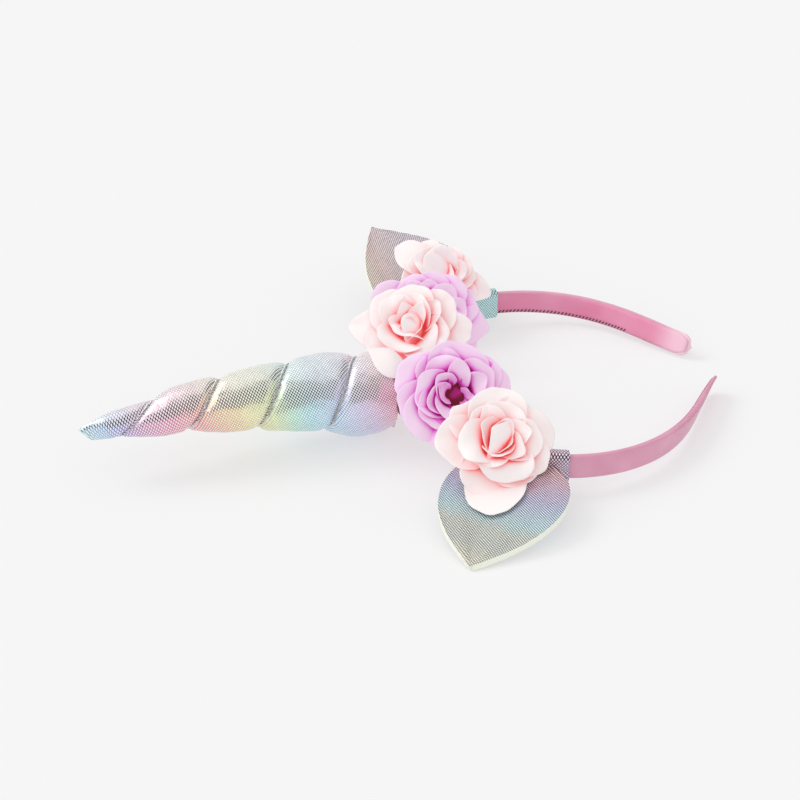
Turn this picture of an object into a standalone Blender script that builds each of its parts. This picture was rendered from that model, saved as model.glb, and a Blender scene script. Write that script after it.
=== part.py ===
# A costume headband with a stuffed spiral horn, two cloth ears and five cloth roses, lying on its side.
# The crown of the band is modelled at X = 0 with the horn along -X and the band's tips along +X,
# and at the end everything is moved so that the middle of its footprint is the origin.

import math

import bmesh
import bpy
from mathutils import Matrix, Vector

# Sizes are in millimetres and angles in degrees. Meshes are written in metres.
MM = 0.001
GAP = 0.3  # clearance between pieces that touch
MERGE = 1e-6  # points closer than this, in metres, are one
NO_AREA = 1e-12  # in square metres
SMOOTH_ANGLE = 40.0

BAND_LENGTH = 379.0  # along the centre line, tip to tip
BAND_WIDTH = 9.4
BAND_THICK = 3.0
BAND_CORNER = 1.0
BAND_PANELS = 39  # odd, so that a flat panel lies across the crown
BAND_TIP_ROUND = 4.5
BAND_TIP_STEPS = [0.6, 0.25, 0.0]  # shares of the rounding where sections stand
BAND_TIP_NARROW = 0.3  # shares of the width and the thickness at the very end
BAND_TIP_THIN = 0.5
BAND_TIP_FLARE = 1.6  # how far the last stretch turns outward
BAND_FLARE_LENGTH = 16.0
CROWN_HEIGHT = 16.0
FLOOR = 0.56  # height at which the lowest petals lie flat
BAND_SLOPE = 5.0  # the band's plane falls from the crown to the tips
CROWN_BEND = 0.01242  # curvature at the crown, 1/mm
SHOULDER_BEND = 0.04439  # how it grows towards the arms
ARM_BEND = -0.0709  # how it fades again along the arms

# The horn's axis and its swollen radius along X.
HORN_ROWS = [
    {"x": -121.5, "z": 20.2, "radius": 1.6},
    {"x": -119.5, "z": 20.6, "radius": 3.2},
    {"x": -110.0, "z": 21.9, "radius": 4.7},
    {"x": -98.0, "z": 22.6, "radius": 6.3},
    {"x": -82.0, "z": 23.8, "radius": 9.0},
    {"x": -62.0, "z": 23.7, "radius": 11.2},
    {"x": -40.0, "z": 21.8, "radius": 13.6},
    {"x": -20.0, "z": 19.4, "radius": 15.4},
    {"x": -2.2, "z": 17.4, "radius": 15.6},
]
HORN_PITCH = 26.0
HORN_GROOVE_START = -17.1  # where the groove crosses the top of the horn
HORN_GROOVE_SWAY = 1.0
HORN_SWAY_ANGLE = 29.4
HORN_GROOVE_DEPTH = 1.5
HORN_GROOVE_SPREAD = 0.1  # of the pitch
HORN_FULL_GROOVE = 8.0  # below this radius the groove gets shallower
HORN_SIDES = 14
HORN_PHASES = [0.0, 0.06, 0.14, 0.3, 0.5, 0.7, 0.86, 0.94]  # rows across one pitch, groove first
HORN_SAG = 2.6  # the underside of the base settles to the floor
HORN_SAG_POWER = 14  # how narrow the settled strip is
HORN_SAG_PLACE = -16.0
HORN_SAG_LENGTH = 14.0
HORN_TURNS_BEFORE = 1.2  # the rows along the groove run past both ends of the horn
HORN_TURNS_AFTER = 0.2
HORN_CLEAR_START = -60.0  # the petals stay clear of the horn from here to its base
HORN_CLEAR_ROWS = 13
HORN_CLEAR_SIDES = 24

CORD_RADIUS = 0.6
CORD_SIDES = 5
CORD_START = -111.0
CORD_END = -4.5

EAR_PLACE = 72.0  # along the band from the crown
EAR_THICK = 3.6
EAR_EDGE_THICK = 2.4
EAR_ROWS = [
    {"along": 0.0, "half": 0.62},
    {"along": 0.1, "half": 0.86},
    {"along": 0.24, "half": 0.99},
    {"along": 0.4, "half": 1.0},
    {"along": 0.56, "half": 0.9},
    {"along": 0.72, "half": 0.67},
    {"along": 0.86, "half": 0.38},
    {"along": 0.96, "half": 0.13},
    {"along": 1.0, "half": 0.02},
]
EAR_LANES = 6
EAR_ROSE_REACH = 40.0  # a rose seated further out than this meets the ear on its side
EARS = [
    {"name": "ear_right", "side": -1, "tip": (3.0, -107.5, 1.7), "half": 25.0, "bow": -1.5,
     "roll": 0.0, "wrap": (78.0, 91.0)},
    {"name": "ear_left", "side": 1, "tip": (16.0, 121.0, 29.0), "half": 21.5, "bow": 3.5,
     "roll": -3.0, "wrap": (82.0, 95.0)},
]
WRAP_THICK = 1.6
WRAP_PANELS = 2
EAR_BAND = (35.0, 115.0)  # stretch of the band that an ear's root lies along
ROSE_BAND = 110.0  # the roses lie within this distance of the crown

# Each rose: where its heart lies, which way it faces, its radius and where it sits along the band.
ROSES = [
    {"name": "rose_1", "heart": (35.0, 72.0, 23.5), "face": (-0.15, -0.5, 0.8), "radius": 23.0, "seat": 68.0},
    {"name": "rose_2", "heart": (23.5, 47.0, 19.0), "face": (-0.15, -0.8, 0.5), "radius": 24.5, "seat": 44.0},
    {"name": "rose_3", "heart": (12.5, 18.5, 30.0), "face": (-0.3, -0.6, 0.7), "radius": 25.0, "seat": 15.0},
    {"name": "rose_4", "heart": (18.0, -25.0, 24.5), "face": (-0.1, -0.8, 0.5), "radius": 23.5, "seat": -28.0},
    {"name": "rose_5", "heart": (25.0, -59.0, 20.5), "face": (0.05, -0.65, 0.75), "radius": 25.5, "seat": -62.0},
]
# Petal rings from the outside in. Lengths are shares of the rose's radius, leans are from its axis.
RINGS = [
    {"count": 5, "length": 0.84, "half": 0.72, "root_lean": 58.0, "lip_lean": 100.0, "turn": 0.0,
     "steps": 3, "lanes": 3},
    {"count": 4, "length": 0.76, "half": 0.62, "root_lean": 24.0, "lip_lean": 80.0, "turn": 34.0,
     "steps": 2, "lanes": 3},
    {"count": 3, "length": 0.62, "half": 0.46, "root_lean": 4.0, "lip_lean": 42.0, "turn": 12.0,
     "steps": 2, "lanes": 2},
]
PETAL_THICK = 1.3
PETAL_ROOT = 3.2  # how far from the axis a petal starts
PETAL_OVERLAP = 1.4  # one side of a petal lies this far outside its neighbour
PETAL_ROOT_WIDTH = 0.3  # share of the width that the root keeps
PETAL_WIDTH_START = 0.12  # part of a half wave that the width runs through
PETAL_WIDTH_SPAN = 0.68
PETAL_DROOP = 0.16  # how far a petal's corners fall back, as a share of its length
PETAL_LEAST_BEND = 6.0  # a petal is never bent round a tighter radius
# The closed bud: its height in millimetres plus a share of the rose's radius.
BUD_ROWS = [
    {"up": -2.0, "share": 0.0, "radius": 7.0},
    {"up": 3.0, "share": 0.0, "radius": 5.6},
    {"up": 0.0, "share": 0.3, "radius": 4.32},
    {"up": 0.0, "share": 0.5, "radius": 2.16},
]
HEART_RADIUS = 7.0
SEAT_RADIUS = 4.6
STUB_SIDES = 7

BLOCK_REACH = 90.0  # half the side of the blocks that part two roses
FLOOR_REACH = 220.0
FLOOR_DEPTH = 40.0

FINISHES = [
    {"name": "band_satin", "colour": (0.72, 0.27, 0.43), "roughness": 0.45, "metallic": 0.0},
    {"name": "horn_foil", "colour": (0.62, 0.66, 0.74), "roughness": 0.3, "metallic": 0.6},
    {"name": "ear_foil", "colour": (0.62, 0.66, 0.74), "roughness": 0.35, "metallic": 0.6},
    {"name": "silver_cord", "colour": (0.75, 0.76, 0.78), "roughness": 0.3, "metallic": 1.0},
    {"name": "petal_pale", "colour": (0.93, 0.74, 0.72), "roughness": 0.8, "metallic": 0.0},
    {"name": "petal_lilac", "colour": (0.82, 0.55, 0.82), "roughness": 0.8, "metallic": 0.0},
]


def mix(a, b, share):
    return a + (b - a) * share


def from_rows(rows, key, column, at):
    """Smooth value of a column at a place, between the rows of a table."""
    places = [row[key] for row in rows]
    values = [row[column] for row in rows]
    if at <= places[0]:
        return values[0]
    if at >= places[-1]:
        return values[-1]
    last = len(rows) - 1
    low = max(i for i in range(last) if places[i] <= at)

    def slope(i):
        before, after = max(i - 1, 0), min(i + 1, last)
        return (values[after] - values[before]) / (places[after] - places[before])

    span = places[low + 1] - places[low]
    t = (at - places[low]) / span
    start, end = slope(low) * span, slope(low + 1) * span
    return (
        values[low] * (1 + 2 * t) * (1 - t) ** 2
        + start * t * (1 - t) ** 2
        + values[low + 1] * t * t * (3 - 2 * t)
        + end * t * t * (t - 1)
    )


def clear_scene():
    for obj in list(bpy.data.objects):
        bpy.data.objects.remove(obj, do_unlink=True)


def material(finish):
    made = bpy.data.materials.new(finish["name"])
    made.use_nodes = True
    shader = made.node_tree.nodes["Principled BSDF"]
    shader.inputs["Base Color"].default_value = (*finish["colour"], 1.0)
    shader.inputs["Roughness"].default_value = finish["roughness"]
    shader.inputs["Metallic"].default_value = finish["metallic"]
    made.diffuse_color = (*finish["colour"], 1.0)
    return made


def add_object(name, points, faces, surface=None):
    """One mesh object from points in millimetres, with coinciding points joined and faces outward."""
    mesh = bpy.data.meshes.new(name)
    mesh.from_pydata([Vector(p) * MM for p in points], [], faces)
    shape = bmesh.new()
    shape.from_mesh(mesh)
    bmesh.ops.remove_doubles(shape, verts=shape.verts, dist=MERGE)
    bmesh.ops.recalc_face_normals(shape, faces=shape.faces)
    bmesh.ops.triangulate(shape, faces=shape.faces)
    shape.to_mesh(mesh)
    shape.free()
    obj = bpy.data.objects.new(name, mesh)
    bpy.context.scene.collection.objects.link(obj)
    if surface:
        mesh.materials.append(surface)
    return obj


def skin(rings):
    """Points and faces of a closed tube through rings of equal size, with flat ends."""
    size = len(rings[0])
    points = [p for ring in rings for p in ring]
    faces = [list(range(size)), list(range(len(points) - size, len(points)))]
    for i in range(len(rings) - 1):
        for j in range(size):
            k = (j + 1) % size
            a, b = i * size, (i + 1) * size
            faces.append([a + j, a + k, b + k, b + j])
    return points, faces


def slab(front, back):
    """Points and faces of a closed sheet between two equal grids of points."""
    rows, lanes = len(front), len(front[0])
    points = [p for row in front for p in row] + [p for row in back for p in row]
    other = rows * lanes
    faces = []
    for i in range(rows - 1):
        for j in range(lanes - 1):
            a = i * lanes + j
            faces.append([a, a + 1, a + lanes + 1, a + lanes])
            faces.append([other + a + lanes, other + a + lanes + 1, other + a + 1, other + a])
    border = [(0, j) for j in range(lanes)] + [(i, lanes - 1) for i in range(1, rows)]
    border += [(rows - 1, j) for j in range(lanes - 2, -1, -1)] + [(i, 0) for i in range(rows - 2, 0, -1)]
    ring = [i * lanes + j for i, j in border]
    for a, b in zip(ring, ring[1:] + ring[:1]):
        faces.append([a, b, other + b, other + a])
    return points, faces


def combine(obj, others, operation):
    """Boolean of an object with each of the others, which are then removed."""
    for other in others:
        step = obj.modifiers.new(operation.lower(), "BOOLEAN")
        step.operation = operation
        step.solver = "EXACT"
        step.object = other
        with bpy.context.temp_override(object=obj, active_object=obj):
            bpy.ops.object.modifier_apply(modifier=step.name)
    for other in others:
        bpy.data.objects.remove(other, do_unlink=True)


def keep_largest(obj):
    """Drops the loose scraps that a cut leaves."""
    shape = bmesh.new()
    shape.from_mesh(obj.data)
    left, islands = set(shape.verts), []
    while left:
        island, edge = set(), [next(iter(left))]
        while edge:
            vert = edge.pop()
            if vert in island:
                continue
            island.add(vert)
            edge += [e.other_vert(vert) for e in vert.link_edges]
        islands.append(island)
        left -= island
    largest = max(islands, key=len)
    bmesh.ops.delete(shape, geom=[v for v in shape.verts if v not in largest], context="VERTS")
    bmesh.ops.triangulate(shape, faces=shape.faces)
    shape.to_mesh(obj.data)
    shape.free()


def smooth(obj):
    obj.data.shade_smooth()
    obj.data.set_sharp_from_angle(angle=math.radians(SMOOTH_ANGLE))


def band_curve():
    """Half of the band's centre line as rows of (along, across, heading), one for each millimetre."""
    half = BAND_LENGTH / 2
    across = along = heading = 0.0
    rows = [(along, across, heading)]
    steps = int(math.ceil(half))
    step = half / steps
    for i in range(steps):
        t = (i + 0.5) / steps
        heading += (CROWN_BEND + SHOULDER_BEND * t**2 + ARM_BEND * t**4) * step
        along += math.sin(heading) * step
        across += math.cos(heading) * step
        rows.append((along, across, heading))
    return rows


CURVE = band_curve()
FALL = math.radians(BAND_SLOPE)
DOWN_BAND = Vector((math.cos(FALL), 0, -math.sin(FALL)))
UP_BAND = Vector((math.sin(FALL), 0, math.cos(FALL)))


def band_at(place):
    """Point of the centre line, its direction and its outward side at a place from the crown."""
    reach = min(abs(place) / (BAND_LENGTH / 2), 1.0) * (len(CURVE) - 1)
    low = min(int(reach), len(CURVE) - 2)
    along, across, heading = (mix(CURVE[low][c], CURVE[low + 1][c], reach - low) for c in range(3))
    side = 1 if place >= 0 else -1
    point = Vector((0, 0, CROWN_HEIGHT)) + DOWN_BAND * along + Vector((0, side * across, 0))
    direction = DOWN_BAND * (side * math.sin(heading)) + Vector((0, math.cos(heading), 0))
    outward = -DOWN_BAND * math.cos(heading) + Vector((0, side * math.sin(heading), 0))
    return point, direction, outward


def band_ring(place, grow=0.0):
    """Rounded oblong section of the band, grown by a clearance."""
    point, _, outward = band_at(place)
    left = BAND_LENGTH / 2 - abs(place)
    flare = max(1 - left / BAND_FLARE_LENGTH, 0.0) ** 2 * BAND_TIP_FLARE
    rounding = min(left / BAND_TIP_ROUND, 1.0)
    share = math.sqrt(max(1 - (1 - rounding) ** 2, 0.0))
    half = mix(BAND_TIP_NARROW, 1.0, share) * BAND_WIDTH / 2 + grow
    thick = mix(BAND_TIP_THIN, 1.0, share) * BAND_THICK / 2 + grow
    corner = BAND_CORNER * mix(BAND_TIP_NARROW, 1.0, share)
    outline = [(thick, half - corner), (thick - corner, half), (corner - thick, half), (-thick, half - corner)]
    outline += [(a, -b) for a, b in reversed(outline)]
    return [point + outward * (a + flare) + UP_BAND * b for a, b in outline]


def band_places():
    """Places of the band's sections between its rounded tips."""
    end = BAND_LENGTH / 2 - BAND_TIP_ROUND
    return [mix(-end, end, i / BAND_PANELS) for i in range(BAND_PANELS + 1)]


def make_band(surface):
    body = band_places()
    ends = [BAND_LENGTH / 2 - BAND_TIP_ROUND * share for share in BAND_TIP_STEPS]
    places = [-place for place in reversed(ends)] + body + ends
    return add_object("headband", *skin([band_ring(place) for place in places]), surface)


def band_cutter(start, end, grow):
    """A stretch of the band with the same sections, grown by a clearance."""
    rings = [band_ring(place, grow) for place in band_places() if start < place < end]
    return add_object("band_cutter", *skin(rings))


def wrap_sleeve(ear, grow):
    """Solid sleeve round the band where the ear's root is folded round it."""
    start, end = sorted(ear["side"] * place for place in ear["wrap"])
    places = [mix(start - grow, end + grow, i / WRAP_PANELS) for i in range(WRAP_PANELS + 1)]
    rings = [band_ring(place, GAP + WRAP_THICK + grow) for place in places]
    return add_object("wrap_sleeve", *skin(rings))


def groove_place(angle):
    """Where the groove lies along X at an angle that keeps growing along the horn."""
    sway = math.cos(angle - math.radians(HORN_SWAY_ANGLE)) * HORN_GROOVE_SWAY
    return HORN_GROOVE_START + HORN_PITCH * angle / math.tau - sway


def horn_point(x, angle, grow=0.0, grooved=True):
    """Point of the horn's skin at a place along X and an angle from the top."""
    phase = (x - groove_place(angle)) / HORN_PITCH % 1
    from_groove = min(phase, 1 - phase) / HORN_GROOVE_SPREAD
    radius = from_rows(HORN_ROWS, "x", "radius", x)
    if grooved:
        radius -= math.exp(-(from_groove**2)) * HORN_GROOVE_DEPTH * min(radius / HORN_FULL_GROOVE, 1.0)
    below = max(-math.cos(angle), 0.0) ** HORN_SAG_POWER
    settle = max(1 - ((x - HORN_SAG_PLACE) / HORN_SAG_LENGTH) ** 2, 0.0)
    radius += HORN_SAG * below * settle + grow
    centre = Vector((x, 0, from_rows(HORN_ROWS, "x", "z", x)))
    return centre + Vector((0, math.sin(angle), math.cos(angle))) * radius


def horn_turns():
    """First and last steps of the helix that cover the whole horn."""
    first = (HORN_ROWS[0]["x"] - HORN_GROOVE_START) / HORN_PITCH - HORN_TURNS_BEFORE
    last = (HORN_ROWS[-1]["x"] - HORN_GROOVE_START) / HORN_PITCH + HORN_TURNS_AFTER
    return math.floor(first * HORN_SIDES), math.ceil(last * HORN_SIDES)


def make_horn(surface):
    """The skin's rows run along the spiral groove, so that the groove is crisp with few faces."""
    first, last = horn_turns()
    low, high = HORN_ROWS[0]["x"], HORN_ROWS[-1]["x"]
    phases = HORN_PHASES + [1.0]
    points, faces = [], []
    for i in range(first, last + 1):
        angle = math.tau * i / HORN_SIDES
        for phase in phases:
            x = groove_place(angle) + HORN_PITCH * phase
            points.append(horn_point(min(max(x, low), high), angle))
    lanes = len(phases)
    for i in range(last - first):
        for j in range(lanes - 1):
            a = i * lanes + j
            faces.append([a, a + lanes, a + lanes + 1, a + 1])
    horn = add_object("horn", points, faces, surface)
    close_ends(horn)
    return horn


def close_ends(obj):
    """Drops the faces that have no area and fills the open rings at the tip and the base."""
    shape = bmesh.new()
    shape.from_mesh(obj.data)
    flat = [f for f in shape.faces if f.calc_area() < NO_AREA]
    bmesh.ops.delete(shape, geom=flat, context="FACES_ONLY")
    bmesh.ops.delete(shape, geom=[e for e in shape.edges if not e.link_faces], context="EDGES")
    rim = [e for e in shape.edges if e.is_boundary]
    bmesh.ops.holes_fill(shape, edges=rim, sides=0)
    bmesh.ops.recalc_face_normals(shape, faces=shape.faces)
    shape.to_mesh(obj.data)
    shape.free()


def make_cord(surface):
    """The cord lies in the groove, a clearance above its floor."""
    first, last = horn_turns()
    rings = []
    for i in range(first, last + 1):
        angle = math.tau * i / HORN_SIDES
        x = groove_place(angle)
        if not CORD_START <= x <= CORD_END:
            continue
        place = horn_point(x, angle, GAP + CORD_RADIUS)
        outward = Vector((0, math.sin(angle), math.cos(angle)))
        sides = [math.tau * k / CORD_SIDES for k in range(CORD_SIDES)]
        offsets = [outward * math.cos(a) + Vector((math.sin(a), 0, 0)) for a in sides]
        rings.append([place + offset * CORD_RADIUS for offset in offsets])
    return add_object("horn_cord", *skin(rings), surface)


def ear_axes(ear):
    root, _, _ = band_at(ear["side"] * EAR_PLACE)
    along = Vector(ear["tip"]) - root
    side = along.cross(Vector((0, 0, 1))).normalized()
    turn = Matrix.Rotation(math.radians(ear["roll"]), 3, along.normalized())
    side = turn @ side
    return root, along, side, side.cross(along).normalized()


def ear_grids(ear, grow=0.0):
    """Front and back of the padded leaf as two grids of points."""
    root, along, side, normal = ear_axes(ear)
    length = along.length + grow
    front, back = [], []
    for row in EAR_ROWS:
        middle = root + along.normalized() * (row["along"] * length)
        middle += side * (ear["bow"] * math.sin(math.pi * row["along"]))
        half = ear["half"] * row["half"] + grow
        near, far = [], []
        for j in range(EAR_LANES + 1):
            across = math.sin(math.radians(mix(-90, 90, j / EAR_LANES)))
            puff = (1 - across**4) * min(row["half"] * 2, 1.0)
            thick = mix(EAR_EDGE_THICK, EAR_THICK, puff) / 2 + grow
            near.append(middle + side * (half * across) + normal * thick)
            far.append(middle + side * (half * across) - normal * thick)
        front.append(near)
        back.append(far)
    return front, back


def make_ear(ear, surface):
    leaf = add_object(ear["name"], *slab(*ear_grids(ear)), surface)
    combine(leaf, [wrap_sleeve(ear, 0.0)], "UNION")
    near, far = sorted(ear["side"] * place for place in EAR_BAND)
    combine(leaf, [band_cutter(near, far, GAP)], "DIFFERENCE")
    keep_largest(leaf)
    return leaf


def ear_cutter(ear):
    leaf = add_object("ear_cutter", *slab(*ear_grids(ear, GAP)))
    combine(leaf, [wrap_sleeve(ear, GAP)], "UNION")
    return leaf


def rose_axes(rose):
    """Matrix whose Z is the way that the rose faces, at the heart."""
    face = Vector(rose["face"]).normalized()
    across = face.cross(Vector((0, 0, 1))).normalized()
    turn = Matrix((across, face.cross(across), face)).transposed().to_4x4()
    return Matrix.Translation(rose["heart"]) @ turn


def petal_grids(ring, radius, turn):
    """Outer and inner side of one petal, part of a bell round the rose's axis."""
    length = ring["length"] * radius
    reach, height = PETAL_ROOT, 0.0
    outer, inner = [], []
    for i in range(ring["steps"] + 1):
        share = i / ring["steps"]
        lean = math.radians(mix(ring["root_lean"], ring["lip_lean"], share))
        if i:
            reach += math.sin(lean) * length / ring["steps"]
            height += math.cos(lean) * length / ring["steps"]
        wave = math.sin(math.pi * (PETAL_WIDTH_START + share * PETAL_WIDTH_SPAN))
        half = ring["half"] * radius * mix(PETAL_ROOT_WIDTH, 1.0, wave)
        out_row, in_row = [], []
        for j in range(ring["lanes"] + 1):
            across = mix(-1, 1, j / ring["lanes"])
            droop = across * across * share * PETAL_DROOP * length
            bend = half * across / max(reach, PETAL_LEAST_BEND)
            at = reach + PETAL_OVERLAP * across - math.sin(lean) * droop
            up = height - math.cos(lean) * droop
            angle = turn + bend
            side = Vector((math.cos(angle), math.sin(angle), 0))
            normal = side * math.cos(lean) - Vector((0, 0, math.sin(lean)))
            middle = side * at + Vector((0, 0, up))
            out_row.append(middle + normal * (PETAL_THICK / 2))
            in_row.append(middle - normal * (PETAL_THICK / 2))
        outer.append(out_row)
        inner.append(in_row)
    return outer, inner


def circle(centre, axis, radius, sides):
    across = axis.orthogonal().normalized()
    other = axis.cross(across)
    angles = [math.tau * k / sides for k in range(sides)]
    return [centre + (across * math.cos(a) + other * math.sin(a)) * radius for a in angles]


def make_rose(rose, surface, cutters):
    axes = rose_axes(rose)
    heart = Vector(rose["heart"])
    face = Vector(rose["face"]).normalized()
    seat, _, _ = band_at(rose["seat"])
    stub_axis = (heart - seat).normalized()
    stub = [circle(seat, stub_axis, SEAT_RADIUS, STUB_SIDES), circle(heart, stub_axis, HEART_RADIUS, STUB_SIDES)]
    body = add_object(rose["name"], *skin(stub), surface)
    bud = []
    for row in BUD_ROWS:
        centre = heart + face * (row["up"] + row["share"] * rose["radius"])
        bud.append(circle(centre, face, row["radius"], STUB_SIDES))
    pieces = [add_object("bud", *skin(bud))]
    for ring in RINGS:
        for k in range(ring["count"]):
            turn = math.radians(ring["turn"]) + math.tau * k / ring["count"]
            outer, inner = petal_grids(ring, rose["radius"], turn)
            petal = add_object("petal", *slab(outer, inner))
            petal.data.transform(Matrix.Scale(MM, 4) @ axes @ Matrix.Scale(1 / MM, 4))
            pieces.append(petal)
    combine(body, pieces, "UNION")
    combine(body, cutters, "DIFFERENCE")
    keep_largest(body)
    return body


def half_space(near, far):
    """Block that covers the far rose's side of the middle plane between two roses."""
    one, two = Vector(near["heart"]), Vector(far["heart"])
    axis = (two - one).normalized()
    share = near["radius"] / (near["radius"] + far["radius"])
    middle = one + (two - one) * share - axis * (GAP / 2)
    block = [circle(middle + axis * depth, axis, BLOCK_REACH, 4) for depth in (0.0, BLOCK_REACH)]
    return add_object("half_space", *skin(block))


def floor_cutter():
    """Block below the floor, so that the lowest petals end flat on it."""
    down = Vector((0, 0, -1))
    levels = [Vector((0, 0, FLOOR)), Vector((0, 0, FLOOR - FLOOR_DEPTH))]
    block = [circle(level, down, FLOOR_REACH, 4) for level in levels]
    return add_object("floor_cutter", *skin(block))


def horn_cutter():
    """A smooth cone round the horn and its cord that the petals stay clear of."""
    rings = []
    angles = [math.tau * k / HORN_CLEAR_SIDES for k in range(HORN_CLEAR_SIDES)]
    for i in range(HORN_CLEAR_ROWS):
        x = mix(HORN_CLEAR_START, HORN_ROWS[-1]["x"] + GAP, i / (HORN_CLEAR_ROWS - 1))
        rings.append([horn_point(x, a, 2 * GAP, grooved=False) for a in angles])
    return add_object("horn_cutter", *skin(rings))


def centre_on_floor(parts):
    """Moves all pieces so that the middle of the footprint is the origin and the lowest point is at 0."""
    corners = [v.co for part in parts for v in part.data.vertices]
    low = [min(c[i] for c in corners) for i in range(3)]
    high = [max(c[i] for c in corners) for i in range(3)]
    shift = Vector((-(low[0] + high[0]) / 2, -(low[1] + high[1]) / 2, -low[2]))
    for part in parts:
        part.location = shift


def main():
    clear_scene()
    finish = {row["name"]: material(row) for row in FINISHES}
    parts = [make_band(finish["band_satin"]), make_horn(finish["horn_foil"]), make_cord(finish["silver_cord"])]
    parts += [make_ear(ear, finish["ear_foil"]) for ear in EARS]
    for i, rose in enumerate(ROSES):
        cutters = [band_cutter(-ROSE_BAND, ROSE_BAND, GAP), horn_cutter(), floor_cutter()]
        cutters += [ear_cutter(ear) for ear in EARS if ear["side"] * rose["seat"] > EAR_ROSE_REACH]
        cutters += [half_space(rose, ROSES[j]) for j in (i - 1, i + 1) if 0 <= j < len(ROSES)]
        colour = "petal_lilac" if i % 2 else "petal_pale"
        parts.append(make_rose(rose, finish[colour], cutters))
    for part in parts:
        smooth(part)
    centre_on_floor(parts)


main()
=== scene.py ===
import math

import bpy
from mathutils import Matrix, Vector, noise
from mathutils.bvhtree import BVHTree


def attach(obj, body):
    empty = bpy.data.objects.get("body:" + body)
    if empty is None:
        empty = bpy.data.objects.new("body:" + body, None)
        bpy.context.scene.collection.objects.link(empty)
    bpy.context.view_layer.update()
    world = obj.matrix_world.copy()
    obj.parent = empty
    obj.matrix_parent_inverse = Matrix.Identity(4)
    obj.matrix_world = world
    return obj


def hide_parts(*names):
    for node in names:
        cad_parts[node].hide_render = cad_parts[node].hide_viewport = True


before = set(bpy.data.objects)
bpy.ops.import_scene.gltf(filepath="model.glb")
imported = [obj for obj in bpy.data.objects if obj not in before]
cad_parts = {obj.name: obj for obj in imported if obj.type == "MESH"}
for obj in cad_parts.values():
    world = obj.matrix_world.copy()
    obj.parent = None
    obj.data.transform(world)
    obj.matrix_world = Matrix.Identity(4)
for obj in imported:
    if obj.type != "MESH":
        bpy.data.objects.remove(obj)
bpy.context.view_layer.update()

mm = 0.001
crown = Vector((-2.564, -6.717, 15.498)) * mm  # middle of the band at its crown
crownHeight = 16.0  # the same point's height in the measures below


def at(x, y, z):  # millimetres from the crown, z from the floor
    return crown + Vector((x, y, z - crownHeight)) * mm


def mix(a, b, share):
    return a + (b - a) * share


def ease(start, end, value):
    share = min(max((value - start) / (end - start), 0.0), 1.0)
    return share * share * (3 - 2 * share)


def fromRows(rows, place, column=1):  # smooth value between the rows of a table
    if place <= rows[0][0]:
        return rows[0][column]
    if place >= rows[-1][0]:
        return rows[-1][column]
    last = len(rows) - 1
    low = max(i for i in range(last) if rows[i][0] <= place)

    def slope(i):
        before, after = rows[max(i - 1, 0)], rows[min(i + 1, last)]
        return (after[column] - before[column]) / (after[0] - before[0])

    span = rows[low + 1][0] - rows[low][0]
    t = (place - rows[low][0]) / span
    return (rows[low][column] * (1 + 2 * t) * (1 - t) ** 2 + slope(low) * span * t * (1 - t) ** 2
            + rows[low + 1][column] * t * t * (3 - 2 * t) + slope(low + 1) * span * t * t * (t - 1))


def addSheet(name, columns, rows, place, layCloth=None):  # a flat grid, its points moved to their places
    bpy.ops.object.select_all(action="DESELECT")
    bpy.ops.mesh.primitive_grid_add(x_subdivisions=columns, y_subdivisions=rows, size=2)
    sheet = bpy.context.object
    sheet.name = sheet.data.name = name
    shares = [((v.co.x + 1) / 2, (v.co.y + 1) / 2) for v in sheet.data.vertices]
    for vertex, (across, along) in zip(sheet.data.vertices, shares):
        vertex.co = place(across, along)
    if layCloth:
        corners = sheet.data.uv_layers[0].data
        for loop in sheet.data.loops:
            corners[loop.index].uv = layCloth(*shares[loop.vertex_index])
    sheet.data.update()
    return sheet


def closeSeams(piece, distance=0.00002):
    bpy.ops.object.select_all(action="DESELECT")
    piece.select_set(True)
    bpy.context.view_layer.objects.active = piece
    bpy.ops.object.mode_set(mode="EDIT")
    bpy.ops.mesh.select_all(action="SELECT")
    bpy.ops.mesh.remove_doubles(threshold=distance)
    bpy.ops.mesh.normals_make_consistent(inside=False)
    bpy.ops.object.mode_set(mode="OBJECT")


def applyModifier(piece, kind, **settings):
    modifier = piece.modifiers.new(kind.lower(), kind)
    for key, value in settings.items():
        setattr(modifier, key, value)
    bpy.context.view_layer.objects.active = piece
    bpy.ops.object.modifier_apply(modifier=modifier.name)


def joinPieces(pieces, name):
    bpy.ops.object.select_all(action="DESELECT")
    for piece in pieces:
        piece.select_set(True)
    bpy.context.view_layer.objects.active = pieces[0]
    bpy.ops.object.join()
    joined = bpy.context.object
    joined.name = joined.data.name = name
    return joined


def keepValues(piece, name, values):  # one number for each point, read by the materials
    store = piece.data.attributes.new(name, "FLOAT", "POINT")
    store.data.foreach_set("value", values)


def dress(piece, *finishes):
    piece.data.materials.clear()
    for finish in finishes:
        piece.data.materials.append(finish)
    piece.data.shade_smooth()


def putOn(piece, slot, *nodes):  # the piece rides the part and stands for its nodes
    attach(piece, "root")
    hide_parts(*nodes)


class Wire:  # a socket that takes part in Python sums
    def __init__(self, finish, socket):
        self.finish, self.socket = finish, socket

    def maths(self, operation, *values):
        return self.finish.node("ShaderNodeMath", {"operation": operation}, dict(enumerate(values)))

    def __add__(self, other):
        return self.maths("ADD", self, other)

    def __sub__(self, other):
        return self.maths("SUBTRACT", self, other)

    def __rsub__(self, other):
        return self.maths("SUBTRACT", other, self)

    def __mul__(self, other):
        return self.maths("MULTIPLY", self, other)

    def __truediv__(self, other):
        return self.maths("DIVIDE", self, other)

    def __pow__(self, other):
        return self.maths("POWER", self, other)

    __radd__ = __add__
    __rmul__ = __mul__


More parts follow.
